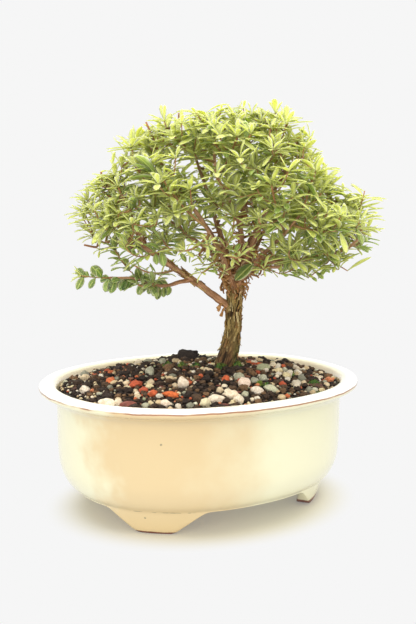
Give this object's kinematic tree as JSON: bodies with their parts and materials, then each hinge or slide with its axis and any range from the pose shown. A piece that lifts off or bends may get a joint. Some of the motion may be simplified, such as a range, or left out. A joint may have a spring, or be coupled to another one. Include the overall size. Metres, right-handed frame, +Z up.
{
  "type": "bonsai tree in pot",
  "caption": "Small Bahama berry bonsai with a short trunk and a wide leafy crown, in an oval cream glazed pot with a flared lip on bracket feet, over a gravel-topped bed.",
  "frame": {"origin": "below the middle of the whole tree and pot, on the surface that the pot's feet stand on", "axes": "+X along the pot's long side, to the right for a viewer of its front; +Y to the back; +Z up"},
  "size_m": [0.2, 0.1794, 0.2467],
  "materials": {
    "glaze": "gloss",
    "screen": "matte",
    "soil": "matte",
    "bark": "matte",
    "leaf": "satin"
  },
  "bodies": {
    "root": {"pot": "glaze", "drain_screen_left": "screen", "drain_screen_right": "screen", "soil_bed": "soil", "trunk_and_limbs": "bark", "leafy_spray_01": "leaf", "leafy_spray_02": "leaf", "leafy_spray_03": "leaf", "leafy_spray_04": "leaf", "leafy_spray_05": "leaf", "leafy_spray_06": "leaf", "leafy_spray_07": "leaf", "leafy_spray_08": "leaf", "leafy_spray_09": "leaf", "leafy_spray_10": "leaf", "leafy_spray_11": "leaf", "leafy_spray_12": "leaf", "leafy_spray_13": "leaf", "leafy_spray_14": "leaf", "leafy_spray_15": "leaf", "leafy_spray_16": "leaf", "leafy_spray_17": "leaf", "leafy_spray_18": "leaf", "leafy_spray_19": "leaf", "leafy_spray_20": "leaf", "leafy_spray_21": "leaf", "leafy_spray_22": "leaf", "leafy_spray_23": "leaf", "leafy_spray_24": "leaf", "leafy_spray_25": "leaf", "leafy_spray_26": "leaf", "leafy_spray_27": "leaf", "leafy_spray_28": "leaf", "leafy_spray_29": "leaf", "leafy_spray_30": "leaf", "leafy_spray_31": "leaf", "leafy_spray_32": "leaf", "leafy_spray_33": "leaf", "leafy_spray_34": "leaf", "leafy_spray_35": "leaf", "leafy_spray_36": "leaf", "leafy_spray_37": "leaf", "leafy_spray_38": "leaf", "leafy_spray_39": "leaf"}
  },
  "joints": []
}
